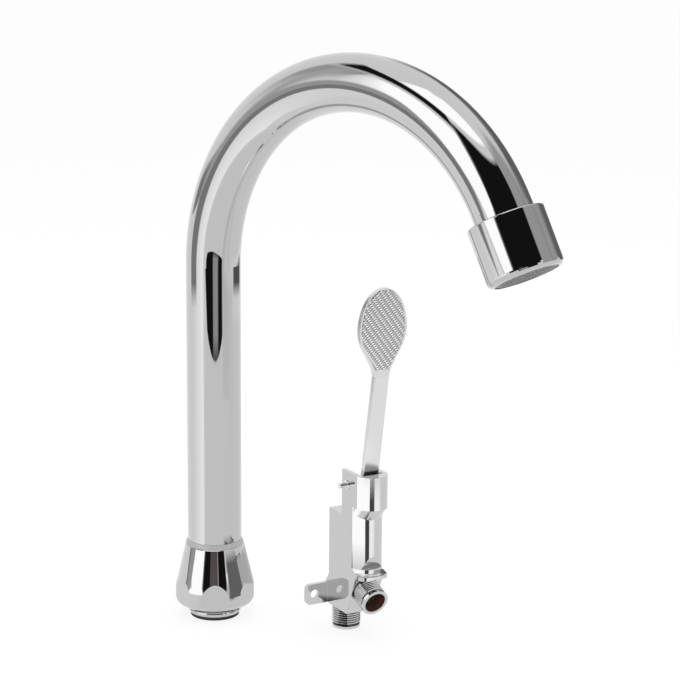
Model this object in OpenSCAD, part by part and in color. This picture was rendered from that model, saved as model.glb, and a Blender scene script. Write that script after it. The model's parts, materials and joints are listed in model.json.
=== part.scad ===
// Foot pedal faucet: a swivelling gooseneck spout and the pedal valve that feeds it.
// Millimetres, +Z up. The origin is the middle of the spout's seat on the floor plane,
// and -Y is the way the pedal valve faces when its ears are screwed to a wall.

/* [Spout] */
// Outside diameter of the gooseneck tube
tube_d = 31.5; // [28:0.5:32]
// Wall of the gooseneck tube
tube_wall = 1.2; // [1:0.1:1.8]
// Radius of the bend, measured to the tube's centre line
bend_r = 110.5; // [80:0.5:140]
// Angle through which the tube bends
bend_angle = 152.3; // [120:0.1:175]
// Height at which the bend starts
bend_start = 210.5; // [150:0.5:260]
// Straight length between the bend and the aerator
nose_len = 2; // [1:0.5:20]
// Turn of the spout from straight ahead, towards +X
spout_turn = 17.7; // [0:0.1:60]

/* [Aerator] */
// Outside diameter of the aerator housing
aerator_d = 40.6; // [39:0.2:44]
// Length of the aerator housing
aerator_len = 31.6; // [27:0.1:40]
// Wall of the aerator housing round its cartridge
aerator_wall = 3.4; // [3.2:0.1:3.6]
// Length of tube that sits inside the aerator housing
aerator_grip = 9; // [6:0.5:11]

/* [Spout base] */
// Diameter of the round collar that the spout stands on
collar_d = 31; // [28:0.5:31.5]
// Thickness of the rubber gasket under the collar
base_gasket_h = 1.6; // [1:0.1:3]
// Height of the coupling nut's lower rim
nut_bottom = 7.4; // [5:0.1:9]
// Height of the coupling nut's top face
nut_top = 44; // [42:0.5:50]
// Largest diameter of the coupling nut
nut_d = 46.4; // [44:0.2:52]
// Diameter of the coupling nut at its top face
nut_top_d = 34.4; // [34:0.2:38]
// Diameter of the coupling nut at its lower rim
nut_rim_d = 37.4; // [35:0.2:40]
// Height at which the coupling nut's cone starts
nut_shoulder = 18.3; // [14:0.1:24]
// Distance across the wrench flats of the coupling nut
nut_flats_d = 43.6; // [43:0.1:46]
// Number of wrench flats
nut_flats = 6; // [6:2:8]
// Turn of the first wrench flat about the vertical axis
nut_flat_turn = 4; // [0:1:59]
// Radius of the female half-inch thread in the base, at its crests
base_thread_r = 9.32; // [9:0.01:9.6]
// Depth of the female thread
base_thread_len = 12; // [8:0.5:14]

/* [Valve body] */
// Place of the valve's inlet to the right of the spout
valve_x = 58; // [50:1:90]
// Place of the valve's inlet in front of the spout
valve_ahead = 55.5; // [50:0.5:90]
// Width of the valve body between its flat cheeks
body_w = 18.6; // [18:0.1:20]
// Distance from the mounting plane to the inlet's axis
inlet_w = 8.5; // [8.4:0.1:10]
// Distance from the mounting plane to the stem's axis
stem_w = 29.8; // [29:0.1:31]
// Distance from the mounting plane to the axis of the lever housing
housing_w = 35.3; // [34.5:0.1:37]
// Distance from the mounting plane to the body's rear face
rear_w = 4; // [2:0.1:4.5]
// Height of the body's underside
body_bottom = 13.5; // [12:0.1:14]
// Height of the step behind the lever housing
step_u = 72; // [70:0.5:73]
// Height of the valve body's top
body_top = 98.5; // [97:0.5:103]
// Inside width of the lever housing
housing_inner = 13.4; // [13:0.1:14]

/* [Valve ports] */
// Outside diameter of the two male pipe threads
port_d = 16.66; // [16:0.01:17]
// Thread pitch of the two male pipe threads
port_pitch = 1.337; // [1:0.001:1.6]
// Depth of the two male pipe threads
thread_depth = 0.8; // [0.5:0.05:0.86]
// Bore of the outlet's mouth
outlet_bore_d = 12.8; // [10:0.1:13]
// Bore of the inlet's mouth
inlet_bore_d = 10; // [8:0.1:12]
// Length of the outlet port in front of its sloping face
outlet_len = 11.3; // [9:0.1:14]
// Slope of the outlet port below the horizontal
outlet_slope = 20.4; // [15:0.1:25]

/* [Mounting ears] */
// Distance between the two screw holes
ear_pitch = 35.8; // [34:0.1:40]
// Radius of each screw hole
ear_hole_r = 2.7; // [2:0.1:3]
// Thickness of the ears
ear_t = 2.6; // [2:0.1:4]
// Height of the screw holes
ear_u = 20; // [19.5:0.1:21]
// Height of an ear, from its lower edge to its upper edge
ear_h = 12.2; // [11:0.1:13]
// Distance between the outer ends of the two ears
ear_span = 47; // [45:0.5:54]

/* [Pedal] */
// Distance from the mounting plane to the hinge pin
pin_w = 23.5; // [22.5:0.1:24]
// Height of the hinge pin
pin_u = 90.3; // [89.5:0.1:91]
// Radius of the hinge pin
pin_r = 1.5; // [1:0.05:1.8]
// Width of the lever where it leaves the housing
lever_w = 9.6; // [8:0.1:11]
// Width of the lever at the neck of the foot pad
neck_w = 9; // [7:0.1:10]
// Thickness of the lever
lever_t = 3.4; // [2.5:0.1:4]
// Distance from the mounting plane to the lever at the housing's top
lever_foot_w = 33.2; // [32.5:0.1:33.5]
// Distance from the mounting plane to the lever's upper end
lever_head_w = 43.7; // [40:0.1:50]
// Height of the lever's upper end, where the foot pad starts
lever_head_u = 157; // [140:1:180]
// Width of the foot pad
pad_w = 30; // [24:0.5:40]
// Height from the pad's lower end to its widest place
pad_lower = 26.5; // [20:0.5:36]
// Height from the pad's widest place to its top
pad_upper = 23.7; // [18:0.1:34]
// Thickness of the foot pad at its rim
pad_t = 3; // [2.5:0.1:4]
// Lean of the foot pad away from the mounting plane
pad_lean = 2.5; // [0:0.5:8]
// Spacing of the ridges across the foot pad
ridge_pitch = 3; // [2:0.1:4]
// Height of the ridges on the foot pad
ridge_h = 0.4; // [0.3:0.1:0.6]
// Slope of the ridges above the horizontal
ridge_slope = 52; // [30:1:70]

/* [Valve works] */
// Radius of the stem
stem_r = 2.25; // [2:0.05:2.4]
// Radius of the chamber round the stem
chamber_r = 6.2; // [6:0.05:6.5]
// Height of the seat that the washer closes
seat_u = 44; // [43:0.1:45]
// Radius of the waterway through the seat
seat_bore_r = 4; // [3:0.1:4.2]
// Thickness of the rubber valve washer
washer_h = 2.5; // [2:0.1:3]
// Height of the bonnet's lower face, where the return spring stops
bonnet_bottom = 62; // [61:0.1:63]
// Height of the floor of the lever housing
housing_floor = 75; // [74.5:0.1:75.5]
// Turns of the return spring
spring_turns = 6; // [4:1:7]
// Wire radius of the return spring
spring_wire_r = 0.45; // [0.3:0.05:0.5]

/* [Hidden] */

$fn = 96;
// Small overlap that joins solids of one piece
eps = 0.02;
// Length of a cut that has to pass right through the valve
beyond = 1.1 * body_top;
// Radial clearance of a running fit
run = 0.05;
// Radial clearance between pieces that are screwed or pressed together
fit = 0.03;
// Play between faces that pass each other
play = 0.3;
chrome = "silver";
brass = "goldenrod";
rubber = "dimgray";

// Spout base, from the floor up
tube_r = tube_d / 2;
tube_bore_r = tube_r - tube_wall;
lap_step = 0.08;
nut_r = nut_d / 2;
nut_foot_h = 4.8;
nut_edge = 0.4;
nut_lip = 3.5;
nut_bore_r = collar_d / 2 + 0.5;
adapter_thread_r = nut_bore_r - fit;
adapter_top = nut_top - nut_lip - 2.3;
neck_r = tube_r - 2.75;
neck_bore_r = neck_r - 3;
lip_bore_r = neck_r + 0.4;
collar_band = 3.6;
thread_relief = 2.6;
thread_h = 1.3;
gasket_inset = 1.2;
// Solid web between the female thread and the tail's socket
socket_web = 8;
socket_bottom = base_gasket_h + base_thread_len + socket_web;
tail_gap = 1;
tail_bottom = socket_bottom + tail_gap;
ring_groove_depth = 0.9;
retainer_h = 1.5;
retainer_play = 0.1;
retainer_u = adapter_top + 0.4;
glide_h = 2.8;
tube_bottom = nut_top + glide_h + 0.1;
tail_grip = 16;
o_ring_r = 0.9;
o_ring_side = 0.1;
o_ring_pitch = 5;
o_ring_heights = [tail_bottom + 0.8 * o_ring_pitch, tail_bottom + 1.8 * o_ring_pitch];

// Aerator, measured along its own axis from its upper rim
nose_r = tube_r + lap_step;
aerator_r = aerator_d / 2;
aerator_bore_r = aerator_r - aerator_wall;
gasket_h = 1.5;
screen_h = 0.6;
screen_hole_r = 0.8;
screen_pitch = 2.6;
cartridge_r = aerator_bore_r - fit;
aerator_top_round = 0.8;
aerator_mouth_round = aerator_wall - 0.2;
// Depth of the cartridge's face, and of the screen's, inside the housing's mouth
mouth_recess = 0.3;
cartridge_h = aerator_len - aerator_grip - gasket_h - mouth_recess;
screen_r = cartridge_r - 2.4;

// Valve body
cheek = body_w / 2;
valve_y = -valve_ahead;
brow_u = body_bottom + 24;
brow_h = 2;
brow_front_w = stem_w + cheek + 2.6;
brow_corner_r = 4.5;
cove_r = 3.5;
barrel_foot_u = brow_u + brow_h + cove_r;
flare_top_u = step_u + 7.2;
flare_lean = atan((housing_w - stem_w) / (flare_top_u - step_u));
flare_r = cheek - 0.12;
// How far the leaning flare's axis sits behind the barrel's, so its front starts inside the barrel
flare_back = flare_r / cos(flare_lean) - cheek + 0.3;
face_w = stem_w + 4.4;
cavity = housing_inner / 2;
top_open_w = stem_w + 7.6;
roof_t = 2.3;
port_r = port_d / 2;
port_core_r = port_r - thread_depth;
port_band = 1.6;
// Plain length between the casting and the first ridge of the outlet, and of the inlet
outlet_relief = 0.8;
inlet_relief = 1.4;
// How far a port is sunk into the casting
outlet_sink = 2;
inlet_sink = 6;
// Distance down the sloping face from its top edge to the port's axis
outlet_drop = 10.5;
outlet_end_w = face_w + outlet_len * cos(outlet_slope) - outlet_drop * sin(outlet_slope);
outlet_end_u = brow_u - outlet_drop * cos(outlet_slope) - outlet_len * sin(outlet_slope);
outlet_axis_u = outlet_end_u + (outlet_end_w - stem_w) * tan(outlet_slope);
passage_r = 3.9;
outlet_way_r = 4.6;
outlet_mouth = 8;
passage_top = seat_u + 8;
passage_run = 6;
passage_lean = atan(passage_run / (passage_top - body_bottom));
ear_reach = ear_span / 2;
rear_edge_w = pin_w - 5.2;
pin_tip = 4.8;
pin_short_tip = 1.6;
clip_t = 0.6;
clip_w = 1.4;

// Stem and washer
seat_ring_h = 4;
washer_top = seat_u + washer_h;
screw_r = 1.25;
screw_head_r = 2.6;
screw_head_h = 1.4;
screw_grip = 4;
stem_tip_r = stem_r - 0.75;
flange_h = 2;
flange_r = chamber_r - 1;
spring_bottom = washer_top + flange_h;
pedal_travel = 15;
finger_r = 2;
finger_u = pin_u - 8.3;
finger_arm = stem_w - pin_w;
button_bottom = finger_u + finger_r + play;
button_h = 3.2;
button_r = 4.2;
stem_top = button_bottom + button_h + 0.5;
stem_lift = finger_arm * sin(pedal_travel) + (pin_u - finger_u) * (1 - cos(pedal_travel));
stop_u = bonnet_bottom - stem_lift - play;
hex_af = housing_inner - 1;
stem_o_ring_r = 0.65;
stem_o_ring_heights = [bonnet_bottom + 4, bonnet_bottom + 8];
bonnet_o_ring_u = bonnet_bottom + 2.7;
spring_coil_r = (flange_r + stem_r + 1) / 2 + 0.2;
fork_in = button_r + 0.4;
fork_out = cavity - play;
hub_r = 4;

// Places a child on the valve: X across, Y out from the mounting plane, Z up
module at_valve() {
    translate([valve_x, valve_y + inlet_w, 0]) rotate([0, 0, 180]) children();
}

// Places a child at the end of the gooseneck, with +Z the way the water leaves
module at_nose() {
    rotate([0, 0, spout_turn - 90])
        translate([bend_r * (1 - cos(bend_angle)), 0, bend_start + bend_r * sin(bend_angle)])
            rotate([0, bend_angle, 0]) translate([0, 0, nose_len]) children();
}

// A quarter round about a centre, from one angle to the next
function quarter(centre, r, start) = [for (a = [0:15:90]) centre + r * [cos(start + a), sin(start + a)]];

// A half round about a centre, bulging away from the axis
function half_round(centre, r) = [for (a = [-90:15:90]) centre + r * [cos(a), sin(a)]];

module tube(r, bore, h) {
    difference() {
        cylinder(r = r, h = h);
        translate([0, 0, -1]) cylinder(r = bore, h = h + 2);
    }
}

module o_ring(centre_r, wire_r, height) {
    translate([0, 0, height])
        rotate_extrude() translate([centre_r, 0]) circle(r = wire_r, $fn = 32);
}

// A male thread as a stack of parallel ridges with flat crests
module male_thread(r, depth, pitch, count) {
    rotate_extrude() polygon(concat([[r - depth - 1, 0]],
        [for (i = [0:count - 1], p = [[0, 0], [0.35, 1], [0.65, 1]])
            [r - depth + depth * p[1], (i + p[0]) * pitch]],
        [[r - depth, count * pitch], [r - depth - 1, count * pitch]]));
}

module base_gasket() {
    color(rubber) tube(collar_d / 2 - collar_band / 3, base_thread_r + gasket_inset, base_gasket_h);
}

module base_adapter() {
    thread_bottom = nut_bottom + nut_edge + 1.2;
    collar_r = collar_d / 2;
    round_r = collar_band / 2;
    round_centre = [collar_r - round_r, base_gasket_h + round_r];
    color(chrome) difference() {
        rotate_extrude() polygon(concat(
            [[0, base_gasket_h]], half_round(round_centre, round_r),
            [[collar_r - thread_relief, base_gasket_h + collar_band],
             [collar_r - thread_relief, thread_bottom], [adapter_thread_r, thread_bottom],
             [adapter_thread_r, adapter_top], [0, adapter_top]]));
        translate([0, 0, -eps]) cylinder(r = base_thread_r, h = base_gasket_h + base_thread_len + eps);
        cylinder(r = base_thread_r - thread_h, h = nut_top);
        translate([0, 0, socket_bottom]) cylinder(r = neck_r + run, h = nut_top);
    }
}

// Outline of the nut: a rounded foot, a short straight side, then a cone up to the top face
module nut_profile() {
    rim_r = nut_rim_d / 2;
    foot = [for (a = [0:10:90])
        [rim_r + (nut_r - rim_r) * sin(a), nut_bottom + nut_foot_h * (1 - cos(a))]];
    polygon(concat([[nut_bore_r, nut_bottom]], foot,
        [[nut_r, nut_shoulder], [nut_top_d / 2, nut_top - nut_edge], [nut_top_d / 2 - nut_edge, nut_top],
         [lip_bore_r, nut_top], [lip_bore_r, nut_top - nut_lip], [nut_bore_r, nut_top - nut_lip]]));
}

// A hexagon that is turned to a cone above and rounded below, so each flat ends in two arcs
module coupling_nut() {
    color(chrome) difference() {
        rotate_extrude() nut_profile();
        for (i = [0:nut_flats - 1])
            rotate([0, 0, nut_flat_turn + i * 360 / nut_flats])
                translate([nut_flats_d / 2, -nut_r, 0]) cube([nut_r, 2 * nut_r, nut_top]);
    }
}

module glide_ring() {
    foot_r = nut_top_d / 2 - 0.2;
    foot_h = 0.6;
    top_r = tube_r + 0.15;
    color("lightgray") translate([0, 0, nut_top]) rotate_extrude() polygon([
        [lip_bore_r, 0], [foot_r, 0], [foot_r, foot_h], [top_r, glide_h], [lip_bore_r, glide_h]]);
}

module spout_tail() {
    groove_h = retainer_h + 2 * retainer_play;
    color(brass) difference() {
        union() {
            translate([0, 0, tail_bottom]) cylinder(r = neck_r, h = tube_bottom - tail_bottom + eps);
            translate([0, 0, tube_bottom]) cylinder(r = tube_bore_r - fit, h = tail_grip);
        }
        translate([0, 0, tail_bottom - 1]) cylinder(r = neck_bore_r, h = nut_top);
        translate([0, 0, retainer_u - retainer_play])
            tube(neck_r + 1, neck_r - ring_groove_depth, groove_h);
        for (u = o_ring_heights)
            translate([0, 0, u - o_ring_r - o_ring_side])
                tube(neck_r + 1, neck_r - 2 * o_ring_r - fit, 2 * (o_ring_r + o_ring_side));
    }
}

module tail_o_rings() {
    color(rubber) for (u = o_ring_heights) o_ring(neck_r - o_ring_r, o_ring_r, u);
}

// A split ring that keeps the tail under the nut's lip
module retaining_ring() {
    split = 3;
    color(brass) translate([0, 0, retainer_u]) difference() {
        tube(nut_bore_r - play, neck_r - ring_groove_depth + fit, retainer_h);
        translate([0, -split / 2, -retainer_h]) cube([nut_r, split, 3 * retainer_h]);
    }
}

module spout_tube() {
    lap = 2;
    color(chrome) {
        // Upright run and bend, drawn from the middle of the bend
        rotate([0, 0, spout_turn + 90]) translate([-bend_r, 0, bend_start]) rotate([90, 0, 0]) {
            translate([bend_r, 0, 0]) rotate([90, 0, 0])
                tube(tube_r, tube_bore_r, bend_start - tube_bottom);
            rotate_extrude(angle = bend_angle) translate([bend_r, 0]) difference() {
                circle(r = tube_r);
                circle(r = tube_bore_r);
            }
        }
        // Straight nose, sized a little over the bend that it laps
        at_nose() translate([0, 0, -nose_len - lap])
            tube(tube_r + lap_step, tube_bore_r + lap_step, nose_len + aerator_grip + lap);
    }
}

module aerator_housing() {
    top_r = aerator_r - aerator_top_round;
    mouth_r = aerator_r - aerator_mouth_round;
    color(chrome) at_nose() rotate_extrude() polygon(concat(
        [[nose_r + fit, 0]],
        quarter([top_r, aerator_top_round], aerator_top_round, -90),
        quarter([mouth_r, aerator_len - aerator_mouth_round], aerator_mouth_round, 0),
        [[aerator_bore_r, aerator_len], [aerator_bore_r, aerator_grip], [nose_r + fit, aerator_grip]]));
}

module aerator_gasket() {
    color(rubber) at_nose() translate([0, 0, aerator_grip])
        tube(aerator_bore_r - fit, tube_bore_r - 2, gasket_h);
}

// A cup turned mouth down: its floor meters the water and its hollow mixes in the air
module aerator_cartridge() {
    floor_h = 3;
    ledge = 1;
    face_h = 1;
    face_gap = 0.4;
    jets = 12;
    jet_r = 1.2;
    color("whitesmoke") at_nose() translate([0, 0, aerator_grip + gasket_h]) difference() {
        union() {
            cylinder(r = cartridge_r, h = cartridge_h - face_h);
            cylinder(r = cartridge_r - face_gap, h = cartridge_h);
        }
        translate([0, 0, floor_h]) cylinder(r = screen_r - ledge, h = cartridge_h);
        translate([0, 0, cartridge_h - screen_h]) cylinder(r = screen_r + fit, h = 2 * screen_h);
        for (i = [0:jets - 1])
            rotate([0, 0, i * 360 / jets]) translate([cartridge_r * 0.55, 0, -floor_h])
                cylinder(r = jet_r, h = 3 * floor_h);
    }
}

module aerator_screen() {
    steps = floor(screen_r / screen_pitch);
    color("gray") at_nose()
        translate([0, 0, aerator_len - mouth_recess - screen_h]) difference() {
            cylinder(r = screen_r, h = screen_h);
            for (i = [-steps:steps], j = [-steps:steps])
                if (norm([i, j]) * screen_pitch < screen_r - 2 * screen_hole_r)
                    translate([i * screen_pitch, j * screen_pitch, -screen_h])
                        cylinder(r = screen_hole_r, h = 3 * screen_h, $fn = 24);
        }
}

// The casting's plan outline: flat cheeks and a half-round front
module u_section(axis_w, back_w, h) {
    cylinder(r = cheek, h = h);
    translate([-cheek, back_w - axis_w, 0]) cube([body_w, axis_w - back_w, h]);
}

module brow_section(h) {
    corner = cheek - brow_corner_r;
    translate([-cheek, 0, 0]) cube([body_w, brow_front_w - brow_corner_r, h]);
    translate([-corner, 0, 0]) cube([2 * corner, brow_front_w, h]);
    for (s = [-1, 1])
        translate([s * corner, brow_front_w - brow_corner_r, 0]) cylinder(r = brow_corner_r, h = h);
}

// Foot of the casting: it spreads back to the mounting plane and is rounded below
module body_foot() {
    corner_r = 5.5;
    ear_top = ear_u + ear_h / 2;
    slope_h = 6;
    points = concat([[stem_w, body_bottom]],
        [for (a = [0:15:90]) [corner_r - corner_r * sin(a), body_bottom + corner_r - corner_r * cos(a)]],
        [[0, ear_top], [0.4 * rear_w, ear_top + 0.37 * slope_h], [rear_w, ear_top + slope_h],
         [stem_w, ear_top + slope_h]]);
    rotate([90, 0, 90]) translate([0, 0, -cheek]) linear_extrude(body_w) polygon(points);
}

module ears() {
    corner_r = 3;
    for (s = [-1, 1]) {
        translate([s > 0 ? 0 : -(ear_reach - corner_r), 0, ear_u - ear_h / 2])
            cube([ear_reach - corner_r, ear_t, ear_h]);
        translate([s > 0 ? 0 : -ear_reach, 0, ear_u - ear_h / 2 + corner_r])
            cube([ear_reach, ear_t, ear_h - 2 * corner_r]);
        for (t = [-1, 1])
            translate([s * (ear_reach - corner_r), ear_t, ear_u + t * (ear_h / 2 - corner_r)])
                rotate([90, 0, 0]) cylinder(r = corner_r, h = ear_t);
    }
}

// Puts a child on the outlet's axis, with +Z the way the water leaves
module at_outlet(back) {
    translate([0, outlet_end_w, outlet_end_u]) rotate([-90 - outlet_slope, 0, 0])
        translate([0, 0, -back]) children();
}

// A male threaded port: its ridges, with a plain band at its end
module port(length, ridges, relief) {
    cylinder(r = port_core_r, h = length);
    translate([0, 0, length - port_band]) cylinder(r = port_r - 0.15, h = port_band);
    translate([0, 0, relief]) male_thread(port_r, thread_depth, port_pitch, ridges);
}

// Part of the casting between its cheeks, from one height to another
module between_cheeks(low, high) {
    intersection() {
        children();
        translate([-cheek, rear_w, low]) cube([body_w, beyond, high - low]);
    }
}

module valve_body() {
    ridges = floor((outlet_len - outlet_relief - port_band) / port_pitch);
    inlet_ridges = floor((body_bottom - inlet_relief - port_band) / port_pitch);
    color(chrome) at_valve() difference() {
        union() {
            difference() {
                union() {
                    // Barrel and its rear web
                    translate([0, stem_w, barrel_foot_u])
                        u_section(stem_w, rear_w, step_u - barrel_foot_u + eps);
                    // Lower block behind the outlet's sloping face
                    translate([-cheek, rear_w, body_bottom])
                        cube([body_w, brow_front_w - rear_w, brow_u - body_bottom]);
                    body_foot();
                    // Lever housing
                    translate([0, housing_w, flare_top_u])
                        u_section(housing_w, rear_edge_w, body_top - flare_top_u);
                    translate([-cheek, rear_edge_w, step_u])
                        cube([body_w, stem_w - rear_edge_w, flare_top_u - step_u + eps]);
                }
                // Sloping face round the outlet
                translate([0, face_w, brow_u]) rotate([-90 - outlet_slope, 0, 0])
                    translate([-beyond / 2, -beyond / 2, 0]) cube(beyond);
            }
            // Brow over the outlet and the cove that leads from it into the barrel
            between_cheeks(brow_u, brow_u + brow_h) translate([0, 0, brow_u]) brow_section(brow_h);
            between_cheeks(brow_u + brow_h - eps, barrel_foot_u)
                translate([0, stem_w, barrel_foot_u]) rotate_extrude() difference() {
                    translate([0, -2 * cove_r]) square([cheek + cove_r, 2 * cove_r]);
                    translate([cheek + cove_r, 0]) circle(r = cove_r);
                }
            translate([-cheek, rear_w, brow_u])
                cube([body_w, stem_w - rear_w, barrel_foot_u - brow_u + eps]);
            // Flare from the barrel out to the lever housing
            translate([0, stem_w, step_u - eps])
                cylinder(r = cheek, h = flare_top_u - step_u + 2 * eps);
            intersection() {
                translate([0, stem_w - flare_back, step_u]) rotate([-flare_lean, 0, 0])
                    translate([0, 0, -beyond / 4]) cylinder(r = flare_r, h = beyond / 2);
                translate([-cheek, stem_w, step_u]) cube([body_w, beyond, flare_top_u - step_u]);
            }
            ears();
            // Inlet and outlet ports
            translate([0, inlet_w, body_bottom + inlet_sink]) rotate([180, 0, 0])
                port(body_bottom + inlet_sink, inlet_ridges, inlet_sink + inlet_relief);
            at_outlet(outlet_len + outlet_sink)
                port(outlet_len + outlet_sink, ridges, outlet_sink + outlet_relief);
        }
        body_bores();
    }
}

// Everything that is bored or cast hollow in the valve body
module body_bores() {
    // Lever housing, open at the back and the top
    translate([-cavity, 0, housing_floor]) cube([housing_inner, top_open_w, beyond]);
    translate([0, housing_w, flare_top_u])
        cylinder(r = cavity, h = body_top - roof_t - flare_top_u);
    // Stem chamber, seat bore and outlet
    translate([0, stem_w, seat_u - seat_ring_h]) cylinder(r = chamber_r, h = beyond);
    translate([0, stem_w, outlet_axis_u - 3]) cylinder(r = seat_bore_r, h = seat_u - outlet_axis_u);
    at_outlet(outlet_mouth) cylinder(r = outlet_bore_d / 2, h = 2 * outlet_mouth);
    at_outlet((outlet_end_w - stem_w) / cos(outlet_slope)) cylinder(r = outlet_way_r, h = stem_w);
    // Inlet and the passage up to the chamber
    translate([0, inlet_w, -1]) cylinder(r = inlet_bore_d / 2, h = body_bottom);
    passage_len = (passage_top - body_bottom) / cos(passage_lean);
    translate([0, inlet_w, body_bottom]) rotate([-passage_lean, 0, 0])
        translate([0, 0, -1]) cylinder(r = passage_r, h = passage_len + 1);
    translate([0, inlet_w + passage_run, passage_top]) sphere(r = passage_r);
    translate([0, inlet_w + passage_run, passage_top]) rotate([-90, 0, 0])
        cylinder(r = passage_r, h = stem_w - inlet_w - passage_run);
    // Hinge pin and ear holes
    translate([-beyond / 2, pin_w, pin_u]) rotate([0, 90, 0]) cylinder(r = pin_r + fit, h = beyond);
    for (s = [-1, 1])
        translate([s * ear_pitch / 2, -1, ear_u]) rotate([-90, 0, 0])
            cylinder(r = ear_hole_r, h = ear_t + 2);
}

module seat_ring() {
    color(brass) at_valve() translate([0, stem_w, seat_u - seat_ring_h]) difference() {
        union() {
            cylinder(r = chamber_r - fit, h = seat_ring_h - 0.8);
            cylinder(r = seat_bore_r + 0.8, h = seat_ring_h);
        }
        translate([0, 0, -1]) cylinder(r = seat_bore_r, h = seat_ring_h + 2);
    }
}

module valve_washer() {
    color(rubber) at_valve() translate([0, stem_w, seat_u])
        tube(flange_r, screw_r + run, washer_h);
}

module washer_screw() {
    color(brass) at_valve() translate([0, stem_w, 0]) {
        translate([0, 0, seat_u - screw_head_h]) cylinder(r = screw_head_r, h = screw_head_h);
        translate([0, 0, seat_u - eps]) cylinder(r = screw_r, h = washer_h + screw_grip);
    }
}

module valve_stem() {
    color(brass) at_valve() translate([0, stem_w, 0]) difference() {
        union() {
            translate([0, 0, washer_top]) cylinder(r = flange_r, h = flange_h);
            translate([0, 0, washer_top]) cylinder(r = stem_r + 1, h = stop_u - washer_top);
            translate([0, 0, washer_top]) cylinder(r = stem_r, h = button_bottom - washer_top);
            translate([0, 0, washer_top]) cylinder(r = stem_tip_r, h = stem_top - washer_top);
        }
        translate([0, 0, washer_top - 1]) cylinder(r = screw_r + fit, h = screw_grip + 1.5);
    }
}

// One unbroken wire swept along a helix
module helix(coil_r, wire_r, height, turns) {
    sides = 6;
    steps = 12 * turns;
    function ring(i) = let (a = 360 * i / 12, z = wire_r + (height - 2 * wire_r) * i / steps)
        [for (k = [0:sides - 1]) let (b = 360 * k / sides, r = coil_r + wire_r * cos(b))
            [r * cos(a), r * sin(a), z + wire_r * sin(b)]];
    points = [for (i = [0:steps]) each ring(i)];
    walls = [for (i = [0:steps - 1], k = [0:sides - 1]) let (n = (k + 1) % sides) each [
        [i * sides + k, i * sides + n, (i + 1) * sides + n],
        [i * sides + k, (i + 1) * sides + n, (i + 1) * sides + k]]];
    ends = concat([for (k = [1:sides - 2]) [0, k + 1, k]],
        [for (k = [1:sides - 2]) [steps * sides, steps * sides + k, steps * sides + k + 1]]);
    polyhedron(points = points, faces = [for (f = concat(walls, ends)) [f[2], f[1], f[0]]]);
}

module return_spring() {
    color("gray") at_valve() translate([0, stem_w, spring_bottom])
        helix(spring_coil_r, spring_wire_r, bonnet_bottom - spring_bottom, spring_turns);
}

module bonnet() {
    hex_h = 3.5;
    groove_h = 2 * stem_o_ring_r + 0.1;
    color(brass) at_valve() translate([0, stem_w, 0]) difference() {
        union() {
            translate([0, 0, bonnet_bottom])
                cylinder(r = chamber_r - fit, h = housing_floor - bonnet_bottom + eps);
            translate([0, 0, housing_floor]) rotate([0, 0, 30])
                cylinder(r = hex_af / 2 / cos(30), h = hex_h, $fn = 6);
        }
        cylinder(r = stem_r + run, h = beyond);
        for (u = stem_o_ring_heights)
            translate([0, 0, u - groove_h / 2])
                cylinder(r = stem_r + run + 2 * stem_o_ring_r + fit, h = groove_h);
        translate([0, 0, bonnet_o_ring_u - groove_h / 2])
            tube(chamber_r + 1, chamber_r - 2 * stem_o_ring_r - fit, groove_h);
    }
}

module bonnet_o_ring() {
    color(rubber) at_valve() translate([0, stem_w, 0])
        o_ring(chamber_r - stem_o_ring_r, stem_o_ring_r - fit, bonnet_o_ring_u);
}

module stem_o_rings() {
    color(rubber) at_valve() translate([0, stem_w, 0])
        for (u = stem_o_ring_heights) o_ring(stem_r + run + stem_o_ring_r, stem_o_ring_r, u);
}

module lift_button() {
    color(brass) at_valve() translate([0, stem_w, button_bottom])
        tube(button_r, stem_tip_r + fit, button_h);
}

// Centre line of the lever and the pad, as distance from the wall and height
lever_foot = [lever_foot_w, body_top];
lever_head = [lever_head_w, lever_head_u];
pad_len = pad_lower + pad_upper;
pad_top = lever_head + pad_len * [sin(pad_lean), cos(pad_lean)];

// Half width of the foot pad at a height above its lower end
function pad_half(s) = s < pad_lower
    ? neck_w / 2 + (pad_w - neck_w) / 2 * pow(0.5 - 0.5 * cos(180 * s / pad_lower), 0.8)
    : pad_w / 2 * sqrt(max(0, 1 - pow((s - pad_lower) / pad_upper, 2)));

// Heights along the pad, closer together towards its round top
function pad_steps() = concat([for (i = [0:12]) pad_lower * i / 12],
    [for (a = [6:6:90]) pad_lower + pad_upper * sin(a)]);

// Face-on outline of the lever and the pad
module lever_outline() {
    side = [for (s = pad_steps()) [pad_half(s), lever_head_u + s]];
    right = concat([[lever_w / 2, body_top - 8]], side);
    left = [for (i = [len(right) - 1:-1:0]) [-right[i][0], right[i][1]]];
    polygon(concat(right, left));
}

// Side view of the lever and the pad: a bar that leans out, then stands up at the pad
module lever_side() {
    along = lever_head - lever_foot;
    half = lever_t / 2 * [along[1], -along[0]] / norm(along);
    pad_half_t = pad_t / 2 * [cos(pad_lean), -sin(pad_lean)];
    start = lever_foot - 2 * along / norm(along);
    rise = 6 * [sin(pad_lean), cos(pad_lean)];
    polygon([start + half, lever_head + half, lever_head + rise + pad_half_t, pad_top + pad_half_t,
             pad_top - pad_half_t, lever_head + rise - pad_half_t, lever_head - half, start - half]);
}

// Extrudes a side view, given as distance from the wall and height, across the valve
module across(width) {
    rotate([90, 0, 90]) translate([0, 0, -width / 2]) linear_extrude(width) children();
}

module lever() {
    intersection() {
        across(2 * pad_w) lever_side();
        translate([0, beyond, 0]) rotate([90, 0, 0]) linear_extrude(beyond) lever_outline();
    }
}

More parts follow.
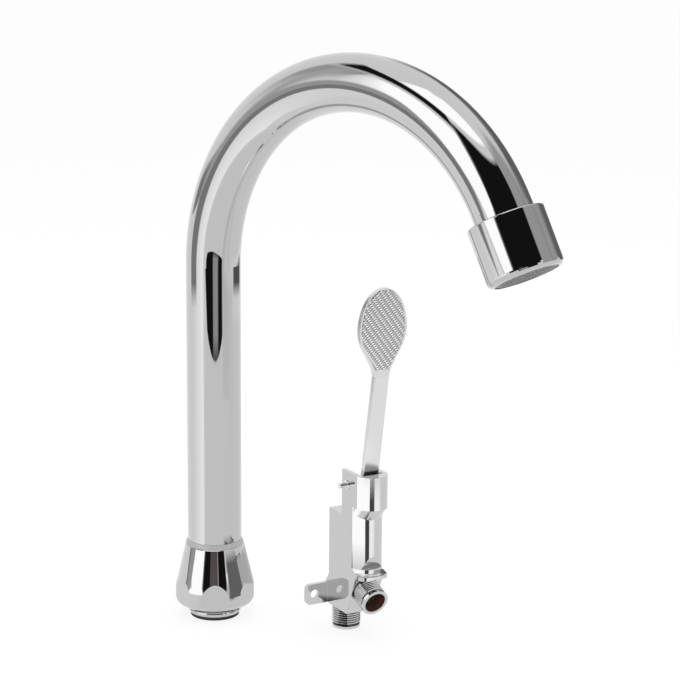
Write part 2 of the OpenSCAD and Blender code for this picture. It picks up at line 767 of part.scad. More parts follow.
// Block that joins the lever to the two arms of the fork, above the lift button
module fork_bridge() {
    low = pin_u + 1;
    across(2 * fork_out) polygon([
        [pin_w - 3, pin_u + 2], [pin_w + 1, low], [stem_w + 1, low], [lever_foot_w + 0.6, low + 3.4],
        [lever_foot_w + 1.5, body_top - 1.6], [lever_foot_w - 2, body_top - 1],
        [pin_w + 5, pin_u + 6], [pin_w, pin_u + hub_r]]);
}

module fork_arm() {
    rotate([90, 0, 90]) linear_extrude(fork_out - fork_in) polygon([
        [pin_w - hub_r * 0.85, pin_u - hub_r * 0.5], [stem_w - finger_r, finger_u - 0.4],
        [stem_w + finger_r * 0.8, finger_u + finger_r * 0.6], [pin_w + hub_r * 0.9, pin_u + hub_r * 0.45]]);
    translate([0, pin_w, pin_u]) rotate([0, 90, 0]) cylinder(r = hub_r, h = fork_out - fork_in);
    translate([0, stem_w, finger_u]) rotate([0, 90, 0]) cylinder(r = finger_r, h = fork_out - fork_in);
}

// Slanting ridges on the pad's front face, inside a plain rim
module pad_ridges() {
    rim = 1.4;
    lowest = 4;
    field = [for (s = pad_steps()) if (s > lowest)
        [max(rim / 4, pad_half(s) - rim), min(s, pad_len - rim)]];
    count = ceil(pad_len / ridge_pitch);
    foot = 0.3 * ridge_pitch;
    crest = 0.05 * ridge_pitch;
    rotate([-pad_lean, 0, 0]) intersection() {
        translate([0, pad_t / 2 + ridge_h, 0]) rotate([90, 0, 0]) linear_extrude(ridge_h + 2 * eps)
            polygon(concat(field, [for (i = [len(field) - 1:-1:0]) [-field[i][0], field[i][1]]]));
        translate([0, pad_t / 2, pad_lower]) rotate([0, -ridge_slope, 0])
            for (i = [-count:count])
                translate([-pad_len, 0, i * ridge_pitch]) rotate([90, 0, 90]) linear_extrude(2 * pad_len)
                    polygon([[-eps, -foot], [ridge_h, -crest], [ridge_h, crest], [-eps, foot]]);
    }
}

module pedal() {
    color(chrome) at_valve() difference() {
        union() {
            lever();
            translate([0, lever_head_w, lever_head_u]) pad_ridges();
            fork_bridge();
            for (s = [0, 1]) mirror([s, 0, 0]) {
                translate([fork_in, 0, 0]) fork_arm();
                translate([stem_r + 0.4, stem_w, finger_u]) rotate([0, 90, 0])
                    cylinder(r = finger_r, h = fork_in - stem_r - 0.4 + eps);
            }
        }
        translate([-beyond / 2, pin_w, pin_u]) rotate([0, 90, 0])
            cylinder(r = pin_r + run, h = beyond);
    }
}

module hinge_pin() {
    color("gray") at_valve() translate([-cheek - pin_short_tip, pin_w, pin_u]) rotate([0, 90, 0])
        cylinder(r = pin_r, h = body_w + pin_short_tip + pin_tip);
}

module pin_clips() {
    color("gray") at_valve() for (x = [-cheek - clip_t, cheek])
        translate([x, pin_w, pin_u]) rotate([0, 90, 0]) difference() {
            tube(pin_r + clip_w, pin_r + fit, clip_t);
            translate([0, -pin_r * 0.8, -clip_t]) cube([3 * pin_r, pin_r * 1.6, 3 * clip_t]);
        }
}

base_gasket();
base_adapter();
coupling_nut();
glide_ring();
spout_tail();
tail_o_rings();
retaining_ring();
spout_tube();
aerator_housing();
aerator_gasket();
aerator_cartridge();
aerator_screen();
valve_body();
seat_ring();
valve_washer();
washer_screw();
valve_stem();
return_spring();
bonnet();
bonnet_o_ring();
stem_o_rings();
lift_button();
pedal();
hinge_pin();
pin_clips();
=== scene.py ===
import json
import math
import bpy
from mathutils import Matrix, Vector


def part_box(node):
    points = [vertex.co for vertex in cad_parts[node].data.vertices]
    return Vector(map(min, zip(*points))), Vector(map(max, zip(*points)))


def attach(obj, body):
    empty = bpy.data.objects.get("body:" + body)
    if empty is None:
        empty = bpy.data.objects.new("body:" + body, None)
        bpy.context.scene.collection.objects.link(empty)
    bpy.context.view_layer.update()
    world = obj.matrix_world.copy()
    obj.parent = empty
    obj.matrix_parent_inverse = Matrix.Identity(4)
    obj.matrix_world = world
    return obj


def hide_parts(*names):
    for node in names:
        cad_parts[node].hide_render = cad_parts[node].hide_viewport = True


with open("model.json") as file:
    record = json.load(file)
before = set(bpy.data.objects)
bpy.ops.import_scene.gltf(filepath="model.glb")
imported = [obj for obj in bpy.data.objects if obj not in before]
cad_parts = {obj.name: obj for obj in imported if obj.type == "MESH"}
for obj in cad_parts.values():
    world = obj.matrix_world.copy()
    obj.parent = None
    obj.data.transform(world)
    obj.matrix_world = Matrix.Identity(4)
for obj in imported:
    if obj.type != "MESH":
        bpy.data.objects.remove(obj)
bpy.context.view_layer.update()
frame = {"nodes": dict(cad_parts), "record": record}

NODES = frame["nodes"]
MM = 0.001

# The photograph's own directions: it looks 30 degrees to the right of straight ahead
PHOTO_YAW = math.radians(30)
LOOK = Vector((math.sin(PHOTO_YAW), math.cos(PHOTO_YAW), 0))
SIDE = Vector((LOOK.y, -LOOK.x, 0))
UP = Vector((0, 0, 1))

# The axes of the valve's barrel and inlet, and its outlet's end and direction, as in the part's source
BARREL = Vector((58, -76.8, 0)) * MM
INLET = Vector((58, -55.5, 0)) * MM
OUTLET_DROP = math.radians(20.4)
OUTLET_END = Vector((58, -88.13, 23.72)) * MM
OUTLET_FLOW = Vector((0, -math.cos(OUTLET_DROP), -math.sin(OUTLET_DROP)))


# Materials

METAL, PLAIN = 1, 0
CAST_GREY = (0.60, 0.60, 0.60)
# Painted shade: the near black that the thread grooves of the valve's ports are painted with.
THREAD_GROOVE_SHADE = (0.07, 0.07, 0.07)


def material(name, base, metallic, rough, bump=None, edge=None):
    """A procedural surface: faintly cloudy roughness, an optional fine grain (its scale, strength
    and depth) and optional softened edges of a radius."""
    m = bpy.data.materials.new(name)
    m.use_nodes = True
    nodes, links = m.node_tree.nodes, m.node_tree.links
    bsdf = nodes["Principled BSDF"]
    bsdf.inputs["Base Color"].default_value = (*base, 1)
    bsdf.inputs["Metallic"].default_value = metallic
    coord = nodes.new("ShaderNodeTexCoord")
    cloud = nodes.new("ShaderNodeTexNoise")
    cloud.inputs["Scale"].default_value = 60
    cloud.inputs["Detail"].default_value = 4
    links.new(coord.outputs["Object"], cloud.inputs["Vector"])
    spread = nodes.new("ShaderNodeMapRange")
    spread.inputs["To Min"].default_value = rough[0]
    spread.inputs["To Max"].default_value = rough[1]
    links.new(cloud.outputs["Fac"], spread.inputs["Value"])
    links.new(spread.outputs["Result"], bsdf.inputs["Roughness"])
    normal = None
    if edge:
        soft = nodes.new("ShaderNodeBevel")
        soft.samples = 4
        soft.inputs["Radius"].default_value = edge
        normal = soft.outputs["Normal"]
    if bump:
        scale, strength, distance = bump
        grain = nodes.new("ShaderNodeTexNoise")
        grain.inputs["Scale"].default_value = scale
        grain.inputs["Detail"].default_value = 2
        links.new(coord.outputs["Object"], grain.inputs["Vector"])
        relief = nodes.new("ShaderNodeBump")
        relief.inputs["Strength"].default_value = strength
        relief.inputs["Distance"].default_value = distance
        links.new(grain.outputs["Fac"], relief.inputs["Height"])
        if normal:
            links.new(normal, relief.inputs["Normal"])
        normal = relief.outputs["Normal"]
    if normal:
        links.new(normal, bsdf.inputs["Normal"])
    return m


CHROME = material("polished_chrome", (0.555, 0.554, 0.554), METAL, (0.01, 0.03))
SATIN = material("satin_chrome", (0.76, 0.76, 0.76), METAL, (0.2, 0.3),
                 bump=(900, 0.08, 0.2 * MM), edge=0.4 * MM)
BRASS = material("machined_brass", (0.74, 0.55, 0.25), METAL, (0.2, 0.35), bump=(300, 0.1, 0.2 * MM))
RUBBER = material("black_rubber", (0.02, 0.02, 0.02), PLAIN, (0.55, 0.75), bump=(400, 0.3, 0.2 * MM))
PLASTIC = material("white_plastic", (0.75, 0.75, 0.73), PLAIN, (0.3, 0.45), bump=(200, 0.1, 0.1 * MM))
GREY_PLASTIC = material("grey_plastic", (0.4, 0.4, 0.396), PLAIN, (0.3, 0.42), bump=(200, 0.1, 0.1 * MM))
STEEL = material("bright_steel", (0.5, 0.5, 0.51), METAL, (0.15, 0.3), bump=(500, 0.1, 0.1 * MM))
TARNISH = material("tarnished_brass", (0.13, 0.055, 0.035), 0.3, (0.45, 0.65), bump=(700, 0.4, 0.3 * MM))


def cast_look():
    """Chromed casting with painted shade: the grooves of its two threads are painted darker than their
    crests.
    """
    groove_top, groove_root, band_half = 8.05 * MM, 7.65 * MM, 0.6 * MM
    band_middle = (groove_top + groove_root) / 2
    m = material("chromed_casting", CAST_GREY, METAL, (0.03, 0.07), edge=0.2 * MM)
    nodes, links = m.node_tree.nodes, m.node_tree.links
    coord = nodes.new("ShaderNodeTexCoord")

    def vector(operation, first, second):
        node = nodes.new("ShaderNodeVectorMath")
        node.operation = operation
        links.new(first, node.inputs[0])
        node.inputs[1].default_value = second
        return node.outputs["Value" if operation in ("LENGTH", "DOT_PRODUCT") else "Vector"]

    def maths(operation, first, second, third=0.0):
        node = nodes.new("ShaderNodeMath")
        node.operation = operation
        for socket, value in zip(node.inputs, (first, second, third)):
            if isinstance(value, float):
                socket.default_value = value
            else:
                links.new(value, socket)
        return node.outputs[0]

    def groove(end, flow, middle, half):
        """1 in the grooves of the thread of one port, where the shade is painted: middle and half say
        where, along its axis.
        """
        offset = vector("SUBTRACT", coord.outputs["Object"], end)
        radius = vector("LENGTH", vector("CROSS_PRODUCT", offset, flow), (0, 0, 0))
        along = vector("DOT_PRODUCT", offset, flow)
        depth = nodes.new("ShaderNodeMapRange")
        depth.inputs["From Min"].default_value = groove_top
        depth.inputs["From Max"].default_value = groove_root
        links.new(radius, depth.inputs["Value"])
        there = maths("MULTIPLY", maths("COMPARE", along, middle, half),
                      maths("COMPARE", radius, band_middle, band_half))
        return maths("MULTIPLY", depth.outputs["Result"], there)

    thread_groove_shade = maths("MAXIMUM", groove(OUTLET_END, OUTLET_FLOW, -6.1 * MM, 4.5 * MM),
                    groove(INLET, -UP, -6.6 * MM, 5 * MM))
    # Painted shade: the casting's grey turns near black in the thread grooves.
    shade = nodes.new("ShaderNodeValToRGB")
    shade.color_ramp.elements[0].color = (*CAST_GREY, 1)
    shade.color_ramp.elements[1].color = (*THREAD_GROOVE_SHADE, 1)
    links.new(thread_groove_shade, shade.inputs["Fac"])
    links.new(shade.outputs["Color"], nodes["Principled BSDF"].inputs["Base Color"])
    return m


CAST = cast_look()


def knurled_look():
    """Satin chrome with painted shade: its base colour is darker in the grooves of the knurl."""
    m = material("knurled_chrome", (0.7, 0.7, 0.7), METAL, (0.12, 0.2))
    nodes, links = m.node_tree.nodes, m.node_tree.links
    # Painted shade: the base colour darkens from the knurl's crests into its grooves.
    layer = nodes.new("ShaderNodeAttribute")
    layer.attribute_name = "knurl_shade"
    shade = nodes.new("ShaderNodeValToRGB")
    for stop, position, grey in zip(shade.color_ramp.elements, (0.1, 0.5), (0.42, 1)):
        stop.position = position
        stop.color = (grey, grey, grey, 1)
    links.new(layer.outputs["Fac"], shade.inputs["Fac"])
    links.new(shade.outputs["Color"], nodes["Principled BSDF"].inputs["Base Color"])
    return m


KNURLED = knurled_look()
DARK_PLASTIC = material("dark_plastic", (0.13, 0.13, 0.13), PLAIN, (0.3, 0.45), bump=(200, 0.1, 0.1 * MM))
DARK_STEEL = material("dull_steel", (0.3, 0.3, 0.3), METAL, (0.25, 0.4), bump=(500, 0.1, 0.1 * MM))
LOOKS = {"chrome": CHROME, "brass": BRASS, "rubber": RUBBER, "plastic": PLASTIC, "steel": STEEL}
SPECIAL = {"pedal": SATIN, "hinge_pin": SATIN, "pin_clips": SATIN, "valve_body": CAST,
           "glide_ring": GREY_PLASTIC, "aerator_cartridge": DARK_PLASTIC, "aerator_screen": DARK_STEEL}
for row in frame["record"]["subparts"]:
    for slot in NODES[row["node"]].material_slots:
        slot.material = SPECIAL.get(row["node"], LOOKS[row["material_slot"]])


# Pieces

def mesh_piece(name, points, faces, look, body, smooth=True):
    """A mesh object in the frame's metres that moves with a body."""
    mesh = bpy.data.meshes.new(name)
    mesh.from_pydata([tuple(p) for p in points], [], faces)
    mesh.validate()
    mesh.materials.append(look)
    for polygon in mesh.polygons:
        polygon.use_smooth = smooth
    piece = bpy.data.objects.new(name, mesh)
    bpy.context.collection.objects.link(piece)
    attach(piece, body)
    return piece


def grid_faces(columns, rows):
    """The faces of a sheet whose points are listed row by row."""
    step = columns + 1
    return [(a, a + 1, a + step + 1, a + step)
            for j in range(rows) for a in range(j * step, j * step + columns)]


# Foot pad, in mm where it has no MM: its place and outline, as in the part's source, and its knurl
PAD_LEAN = math.radians(2.5)
PAD_FOOT = Vector((58, -47 - 43.7, 157)) * MM
PAD_UP = Vector((0, -math.sin(PAD_LEAN), math.cos(PAD_LEAN)))
PAD_OUT = Vector((0, -math.cos(PAD_LEAN), -math.sin(PAD_LEAN)))
PAD_W, PAD_LOWER, PAD_UPPER, PAD_T, NECK_W = 30, 26.5, 23.7, 3, 9
RIDGE_PITCH, RIDGE_H, RIDGE_SLOPE, RIDGE_SHARPNESS = 3, 0.66, math.radians(52), 1.3
NOTCH_PITCH, NOTCH_DEPTH, NOTCH_SLOPE, NOTCH_SHARPNESS = 1.5, 0.6, math.radians(40), 1.5
GROOVE_FLOOR, GROOVE_BUMP = 0.03, 0.1


def pad_half(s):
    """Half the pad's width at a height above its lower end, in mm."""
    if s < PAD_LOWER:
        swell = 0.5 - 0.5 * math.cos(math.pi * s / PAD_LOWER)
        return NECK_W / 2 + (PAD_W - NECK_W) / 2 * swell ** 0.8
    return PAD_W / 2 * math.sqrt(max(0, 1 - ((s - PAD_LOWER) / PAD_UPPER) ** 2))


def wave(distance, pitch):
    """1 on each line of a set, 0 half way between two."""
    return 0.5 + 0.5 * math.cos(2 * math.pi * distance / pitch)


def knurl(t, s):
    """Height of the knurl over the pad's plain face: steep ridges, notched by a finer crossing set."""
    across = t * math.sin(RIDGE_SLOPE) + (s - PAD_LOWER) * math.cos(RIDGE_SLOPE)
    along = -t * math.sin(NOTCH_SLOPE) + (s - PAD_LOWER) * math.cos(NOTCH_SLOPE)
    ridge = wave(across, RIDGE_PITCH) ** RIDGE_SHARPNESS
    notch = 1 - wave(along, NOTCH_PITCH) ** NOTCH_SHARPNESS
    crest = RIDGE_H * ridge * (1 - NOTCH_DEPTH * (1 - notch))
    return GROOVE_FLOOR + crest + GROOVE_BUMP * notch * (1 - ridge)


def knurled_field():
    """The knurled face of the pad as one fine sheet whose rim turns down into the pad."""
    rim, lowest, blend, sunk = 0.9, 3.2, 0.6, -0.2
    rows, columns = 330, 190
    top = PAD_LOWER + PAD_UPPER - rim
    points, knurl_shade = [], []
    for i in range(rows + 1):
        s = lowest + (top - lowest) * math.sin(math.pi / 2 * i / rows) ** 0.98
        half = max(0.3, pad_half(s) - rim)
        for j in range(columns + 1):
            t = half * (2 * j / columns - 1)
            inside = min(half - abs(t), s - lowest, top - s)
            height = knurl(t, s) * min(1, inside / blend) if inside > 0.01 else sunk
            # Painted shade: the lower a point of the knurl, the darker its base colour.
            knurl_shade.append(max(0, min(1, height / RIDGE_H)))
            place = PAD_UP * s + PAD_OUT * (PAD_T / 2 + height)
            points.append(PAD_FOOT + place * MM + Vector((t * MM, 0, 0)))
    piece = mesh_piece("pad_knurl", points, grid_faces(columns, rows), KNURLED, "lever")
    layer = piece.data.attributes.new("knurl_shade", "FLOAT", "POINT")
    for i, value in enumerate(knurl_shade):
        layer.data[i].value = value


knurled_field()


# Aerator: which way its mouth points, as in the part's source
SPOUT_TURN, BEND = math.radians(17.7), math.radians(152.3)
NOSE_AHEAD = Vector((math.sin(SPOUT_TURN), -math.cos(SPOUT_TURN), 0))
NOSE_DOWN = NOSE_AHEAD * math.sin(BEND) + UP * math.cos(BEND)
NOSE_SIDE = Vector((math.cos(SPOUT_TURN), math.sin(SPOUT_TURN), 0))
NOSE_BACK = NOSE_DOWN.cross(NOSE_SIDE)


def circle_points(centre, first, second, r, count):
    """Points evenly round a circle that two directions span."""
    turns = [2 * math.pi * k / count for k in range(count)]
    return [centre + (first * math.cos(a) + second * math.sin(a)) * r for a in turns]


def tube_run(path, normals, r, sides):
    """Points and faces of a thin closed tube along a path; normals hold one pair of directions a point."""
    points, faces = [], []
    for p, (first, second) in zip(path, normals):
        points.extend(circle_points(p, first, second, r, sides))
    for i in range(len(path) - 1):
        for k in range(sides):
            n = (k + 1) % sides
            faces.append((i * sides + k, i * sides + n, (i + 1) * sides + n, (i + 1) * sides + k))
    faces.append(tuple(range(sides - 1, -1, -1)))
    faces.append(tuple(range((len(path) - 1) * sides, len(path) * sides)))
    return points, faces


def woven_screen():
    """Crossing wires in a thin rim, in place of the plain perforated disc."""
    low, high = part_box("aerator_screen")
    centre = (Vector(low) + Vector(high)) / 2
    r, pitch, wire = 14.1 * MM, 1.2 * MM, 0.17 * MM
    rim_r, rim_wire, rim_turns = r + 0.1 * MM, 0.28 * MM, 72
    count = int(r / pitch)
    points, faces = [], []

    def add(part):
        base = len(points)
        points.extend(part[0])
        faces.extend(tuple(base + v for v in f) for f in part[1])

    for along, over, phase in ((NOSE_SIDE, NOSE_BACK, 0), (NOSE_BACK, NOSE_SIDE, 1)):
        for i in range(-count, count + 1):
            reach = math.sqrt(r * r - (i * pitch) ** 2)
            steps = max(2, int(2 * reach / pitch))
            path = []
            for k in range(steps + 1):
                d = -reach + 2 * reach * k / steps
                lift = wire * math.cos(math.pi * (round(d / pitch) + i + phase))
                path.append(centre + along * d + over * (i * pitch) + NOSE_DOWN * lift)
            add(tube_run(path, [(over, NOSE_DOWN)] * len(path), wire, 5))
    path, normals = [], []
    for k in range(rim_turns + 1):
        a = 2 * math.pi * k / rim_turns
        out = NOSE_SIDE * math.cos(a) + NOSE_BACK * math.sin(a)
        path.append(centre + out * rim_r)
        normals.append((out, NOSE_DOWN))
    add(tube_run(path, normals, rim_wire, 8))
    piece = mesh_piece("woven_screen", points, faces, DARK_STEEL, "spout")
    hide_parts("aerator_screen")


woven_screen()


def outlet_lining():
    """The outlet's bore, left unplated: a stepped skin just inside it, closed at its far end."""
    profile = [(6.36, 0.5), (6.36, 7.95), (4.56, 7.95), (4.56, 14), (0.01, 14)]  # radius, depth
    turns = 64
    across = Vector((1, 0, 0))
    upward = OUTLET_FLOW.cross(across)
    points, faces = [], []
    for r, depth in profile:
        centre = OUTLET_END - OUTLET_FLOW * depth * MM
        points.extend(circle_points(centre, across, upward, r * MM, turns))
    for i in range(len(profile) - 1):
        for k in range(turns):
            n = (k + 1) % turns
            faces.append((i * turns + k, (i + 1) * turns + k, (i + 1) * turns + n, i * turns + n))
    mesh_piece("outlet_lining", points, faces, TARNISH, "base", smooth=False)


outlet_lining()


# Stage

def seen_by_rays(nodes, links):
    """1 for the rays that show the background: from the camera, off gloss and through glass."""
    path = nodes.new("ShaderNodeLightPath")
    total = path.outputs["Is Camera Ray"]
    for ray in ("Is Glossy Ray", "Is Transmission Ray"):
        either = nodes.new("ShaderNodeMath")
        either.operation = "MAXIMUM"
        links.new(total, either.inputs[0])
        links.new(path.outputs[ray], either.inputs[1])
        total = either.outputs[0]
    return total


def floor_look():
    """A pale floor that shows near white and keeps a share of the real light, so shadows stay."""
    white_share = 0.85
    m = bpy.data.materials.new("pale_floor")
    m.use_nodes = True
    nodes, links = m.node_tree.nodes, m.node_tree.links
    bsdf = nodes["Principled BSDF"]
    bsdf.inputs["Base Color"].default_value = (0.9, 0.9, 0.9, 1)
    bsdf.inputs["Roughness"].default_value = 0.9
    bsdf.inputs["Specular IOR Level"].default_value = 0.1
    glow = nodes.new("ShaderNodeEmission")
    glow.inputs["Strength"].default_value = 1.0
    share = nodes.new("ShaderNodeMath")
    share.operation = "MULTIPLY"
    share.inputs[1].default_value = white_share
    links.new(seen_by_rays(nodes, links), share.inputs[0])
    mix = nodes.new("ShaderNodeMixShader")
    links.new(share.outputs[0], mix.inputs["Fac"])
    links.new(bsdf.outputs[0], mix.inputs[1])
    links.new(glow.outputs[0], mix.inputs[2])
    links.new(mix.outputs[0], nodes["Material Output"].inputs["Surface"])
    return m


def studio_floor():
    reach = 40
    corners = [(-reach, -reach, 0), (reach, -reach, 0), (reach, reach, 0), (-reach, reach, 0)]
    mesh = bpy.data.meshes.new("floor")
    mesh.from_pydata(corners, [], [(0, 1, 2, 3)])
    mesh.materials.append(floor_look())
    plane = bpy.data.objects.new("floor", mesh)
    bpy.context.collection.objects.link(plane)


def studio_world():
    """White where it is seen, a plain pale grey where it lights."""
    world = bpy.data.worlds.new("studio")
    bpy.context.scene.world = world
    world.use_nodes = True
    nodes, links = world.node_tree.nodes, world.node_tree.links
    light = nodes["Background"]
    light.inputs["Color"].default_value = (0.95, 0.95, 0.95, 1)
    white = nodes.new("ShaderNodeBackground")
    white.inputs["Color"].default_value = (1, 1, 1, 1)
    mix = nodes.new("ShaderNodeMixShader")
    links.new(seen_by_rays(nodes, links), mix.inputs["Fac"])
    links.new(light.outputs[0], mix.inputs[1])
    links.new(white.outputs[0], mix.inputs[2])
    links.new(mix.outputs[0], nodes["World Output"].inputs["Surface"])


studio_floor()
studio_world()


# What the chrome mirrors. The strengths are of linear light: 1 is the white room, 0.01 is black.
# Where panels lie over one another, the height, the radius or x says which one is in front.
WHITE = (1, 1, 1)


def glow_look(name, strength, color, one_sided):
    """Light of one strength that fades out where the mesh attribute "cover" does."""
    m = bpy.data.materials.new(name)
    m.use_nodes = True
    nodes, links = m.node_tree.nodes, m.node_tree.links
    nodes.clear()
    out = nodes.new("ShaderNodeOutputMaterial")
    glow = nodes.new("ShaderNodeEmission")
    glow.inputs["Color"].default_value = (*color, 1)
    glow.inputs["Strength"].default_value = strength
    clear = nodes.new("ShaderNodeBsdfTransparent")
    cover = nodes.new("ShaderNodeAttribute")
    cover.attribute_name = "cover"
    mix = nodes.new("ShaderNodeMixShader")
    if one_sided:
        side = nodes.new("ShaderNodeNewGeometry")
        inner = nodes.new("ShaderNodeMath")
        inner.operation = "MULTIPLY"
        links.new(cover.outputs["Fac"], inner.inputs[0])
        links.new(side.outputs["Backfacing"], inner.inputs[1])
        links.new(inner.outputs[0], mix.inputs["Fac"])
    else:
        links.new(cover.outputs["Fac"], mix.inputs["Fac"])
    links.new(clear.outputs[0], mix.inputs[1])
    links.new(glow.outputs[0], mix.inputs[2])
    links.new(mix.outputs[0], out.inputs["Surface"])
    return m


def panel(name, place, columns, rows, strength, soft, color=WHITE, one_sided=False):
    """A softbox or a dark flag that only reflections see. place(u, v) maps 0..1 twice to a point;
    soft is the share of the panel that fades at its start and end in u, then in v."""
    def fade(x, start, end):
        rise = 1 if start == 0 else min(1, x / start)
        fall = 1 if end == 0 else min(1, (1 - x) / end)
        return max(0, min(rise, fall))

    grid = [(i / columns, j / rows) for j in range(rows + 1) for i in range(columns + 1)]
    mesh = bpy.data.meshes.new(name)
    mesh.from_pydata([tuple(place(u, v)) for u, v in grid], [], grid_faces(columns, rows))
    cover = mesh.attributes.new("cover", "FLOAT", "POINT")
    for point, (u, v) in zip(cover.data, grid):
        point.value = fade(u, *soft[:2]) * fade(v, *soft[2:])
    mesh.materials.append(glow_look(name, strength, color, one_sided))
    o = bpy.data.objects.new(name, mesh)
    bpy.context.collection.objects.link(o)
    o.visible_camera = False
    o.visible_diffuse = False
    o.visible_transmission = False
    o.visible_shadow = False


def between(ends, share):
    return ends[0] + (ends[1] - ends[0]) * share


def level(azimuth):
    """A level direction: azimuth 0 is towards the camera and grows to the photograph's right."""
    a = math.radians(azimuth)
    return SIDE * math.sin(a) - LOOK * math.cos(a)


STUDIO_CENTRE = Vector((0, 0, 0.12))


def sky(azimuth, elevation, radius):
    """A point of the studio's dome, in degrees."""
    e = math.radians(elevation)
    return STUDIO_CENTRE + (level(azimuth) * math.cos(e) + UP * math.sin(e)) * radius


def sky_panel(name, azimuths, elevations, strength, radius, soft, color=WHITE):
    """A panel of the dome between two azimuths and two elevations."""
    def place(u, v):
        return sky(between(azimuths, u), between(elevations, v), radius)

    panel(name, place, 32, 16, strength, soft, color)


def front_place(u, v):
    """The dark room behind the camera, wider on the right above eye level."""
    right = 36 + 21 * min(1, v / 0.65)
    return sky(between((-36, right), u), between((-4, 56), v), 3.0)


panel("dark_front", front_place, 32, 16, 0.01, (0.04, 0.03, 0, 0.04))
for row in (
        ("dark_cap", (34, 50), (-4, 8), 0.01, 2.95, (0, 0.1, 0, 0.7)),
        ("dark_left_top", (-125, -33), (46, 60), 0.01, 3.1, (0.15, 0, 0.25, 0.1)),
        ("front_line_wide", (-13, 14), (-4, 12), 0.16, 2.9, (0.1, 0.05, 0, 0.4), (1, 0.82, 0.8)),
        ("front_line", (13, 15), (-4, 14), 0.7, 2.8, (0.2, 0.2, 0, 0.4)),
        ("softbox_left", (-84, -35), (0, 44), 1.75, 2.9, (0.2, 0.02, 0, 0.06)),
        ("grey_left", (-106, -88), (-4, 44), 0.6, 3.2, (0.4, 0.4, 0, 0.1)),
        ("softbox_top", (-78, 57), (60, 88), 1.75, 2.7, (0.05, 0.05, 0.1, 0.1)),
        ("grey_right", (55, 110), (-2, 62), 0.5, 3.2, (0, 0.3, 0, 0.1)),
        ("shade_right", (84, 176), (-5, 46), 0.17, 3.1, (0.45, 0.1, 0, 0.3)),
        ("grey_upper_left", (-125, -84), (12, 48), 0.5, 3.25, (0.2, 0.05, 0.6, 0.1)),
        ("low_left", (-132, -98), (-3.5, 6), 0.3, 3.15, (0.25, 0.25, 0, 0.35)),
        ("nut_left", (-104, -73), (-4, 13), 0.5, 2.8, (0.35, 0.05, 0, 0.3))):
    sky_panel(*row)


def photo_place(right, ahead, up):
    """A point given by the photograph's own directions, from the spout's foot."""
    return SIDE * right + LOOK * ahead + UP * up


def table_edge(u, v):
    """The dark floor beyond the table's front edge, which slants nearer on the right."""
    near = photo_place(between((-0.35, 0.9), u), between((-0.76, -0.54), u), 0.002)
    far = photo_place(between((-2.6, 2.4), u), -2.9, 0.002)
    return near.lerp(far, v)


def floor_panel(name, azimuths, distances, strength, up, soft):
    """A panel that lies on the floor between two azimuths and two distances from the spout."""
    def place(u, v):
        return level(between(azimuths, u)) * between(distances, v) + UP * up

    panel(name, place, 16, 16, strength, soft)


panel("dark_floor", table_edge, 32, 200, 0.01, (0.02, 0.02, 0.005, 0))
for row in (
        ("slot_line", (0, 24), (0.66, 2.9), 0.42, 0.004, (0.15, 0.15, 0.02, 0)),
        ("slot_left", (-104, -70), (0.93, 3.1), 0.3, 0.003, (0.1, 0.1, 0.03, 0)),
        ("slot_right", (92, 150), (0.98, 2.4), 0.12, 0.003, (0.1, 0.1, 0.06, 0.05)),
        ("floor_glow", (-94, -38), (0.15, 3.0), 1.36, 0.0015, (0.85, 0.05, 0, 0.05)),
        ("floor_shade", (-43, 170), (0.03, 0.93), 0.93, 0.0006, (0.03, 0.05, 0, 0.1))):
    floor_panel(*row)


def valve_card(name, azimuths, heights, radius, strength, soft):
    """A card that stands round the valve's barrel and shows only its inner side, or, with the
    azimuths given from right to left, only its outer side."""
    def place(u, v):
        return BARREL + level(between(azimuths, u)) * radius + UP * between(heights, v)

    panel(name, place, 32, 4, strength, soft, one_sided=True)


for row in (
        ("valve_white", (-105, -4), (0.027, 0.1), 0.05, 1.6, (0.02, 0.03, 0.02, 0.1)),
        ("valve_white_back", (-1, -108), (0.036, 0.125), 0.0505, 0.92, (0, 0, 0, 0)),
        ("valve_line", (-6, 21), (0.004, 0.1), 0.044, 0.08, (0.06, 0.06, 0, 0.05)),
        ("valve_light", (20, 62), (0.004, 0.1), 0.045, 1.35, (0.04, 0.4, 0, 0.1)),
        ("port_dark", (-2, 48), (0.002, 0.02), 0.043, 0.1, (0.1, 0.2, 0, 0.3))):
    valve_card(*row)


def between_card(name, x, along, heights, strength, soft):
    """An upright card between the spout and the valve that shows only the side of the one it
    serves: the spout where its reach in Y is given from front to back, else the valve."""
    def place(u, v):
        return Vector((x, between(along, u), between(heights, v)))

    panel(name, place, 8, 8, strength, soft, one_sided=True)


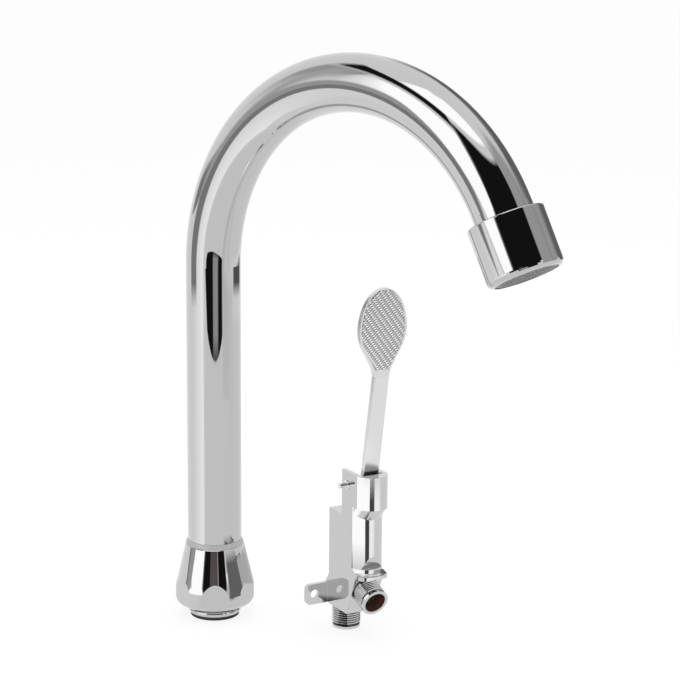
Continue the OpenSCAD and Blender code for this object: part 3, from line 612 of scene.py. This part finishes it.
for row in (
        ("valve_cheek", 0.031, (0.05, -0.053), (0.003, 0.15), 0.93, (0, 0, 0, 0.08)),
        ("spout_side", 0.029, (-0.17, -0.03), (0.04, 0.22), 0.92, (0, 0, 0, 0.08)),
        ("spout_side_rear", 0.029, (-0.03, 0.06), (0.04, 0.18), 0.92, (0, 0, 0, 0.08)),
        ("spout_side_shade", 0.0285, (-0.24, -0.02), (0.07, 0.2), 0.74, (0.5, 0.2, 0.9, 0.1)),
        ("nut_side", 0.028, (-0.045, 0.06), (0.016, 0.04), 0.66, (0, 0, 0, 0.08))):
    between_card(*row)


def nut_card(u, v):
    """A dark card close to the nut's right front, too low for the tube to show."""
    return level(between((32, 67), u)) * 0.034 + UP * between((0.012, 0.046), v)


def inlet_floor(u, v):
    """The dark patch of floor that the inlet's thread shows on its left front."""
    return INLET + level(between((-58, 8), u)) * between((0.0095, 0.0495), v) + UP * 0.001


panel("nut_card", nut_card, 16, 4, 0.2, (0.04, 0.04, 0, 0.2))
panel("inlet_floor", inlet_floor, 16, 8, 0.1, (0.1, 0.06, 0, 0.2))


def overhead_light():
    """A wide lamp over the set, for what isn't chrome and for the shadow; it isn't mirrored."""
    light = bpy.data.lights.new("overhead", "AREA")
    light.shape = "RECTANGLE"
    light.size, light.size_y = 1.6, 1.6
    light.energy = 12
    lamp = bpy.data.objects.new("overhead", light)
    bpy.context.collection.objects.link(lamp)
    lamp.location = UP * 1.6
    lamp.rotation_mode = "QUATERNION"
    lamp.rotation_quaternion = (-UP).to_track_quat("-Z", "Y")
    lamp.visible_glossy = False


overhead_light()


# Camera

def photo_camera():
    """The camera that fits the photograph, in its own directions."""
    pitch, roll = math.radians(12.24), math.radians(0.49)
    ahead = LOOK * math.cos(pitch) - UP * math.sin(pitch)
    level_up = SIDE.cross(ahead)
    right = SIDE * math.cos(roll) + level_up * math.sin(roll)
    up = level_up * math.cos(roll) - SIDE * math.sin(roll)
    lens = bpy.data.cameras.new("camera")
    lens.lens = 105.88
    lens.sensor_width = 36
    camera = bpy.data.objects.new("camera", lens)
    bpy.context.collection.objects.link(camera)
    turn = Matrix((right, up, -ahead)).transposed().to_4x4()
    camera.matrix_world = Matrix.Translation((-0.5014, -1.0144, 0.4115)) @ turn
    bpy.context.scene.camera = camera


photo_camera()
bpy.context.scene.view_settings.view_transform = "Standard"
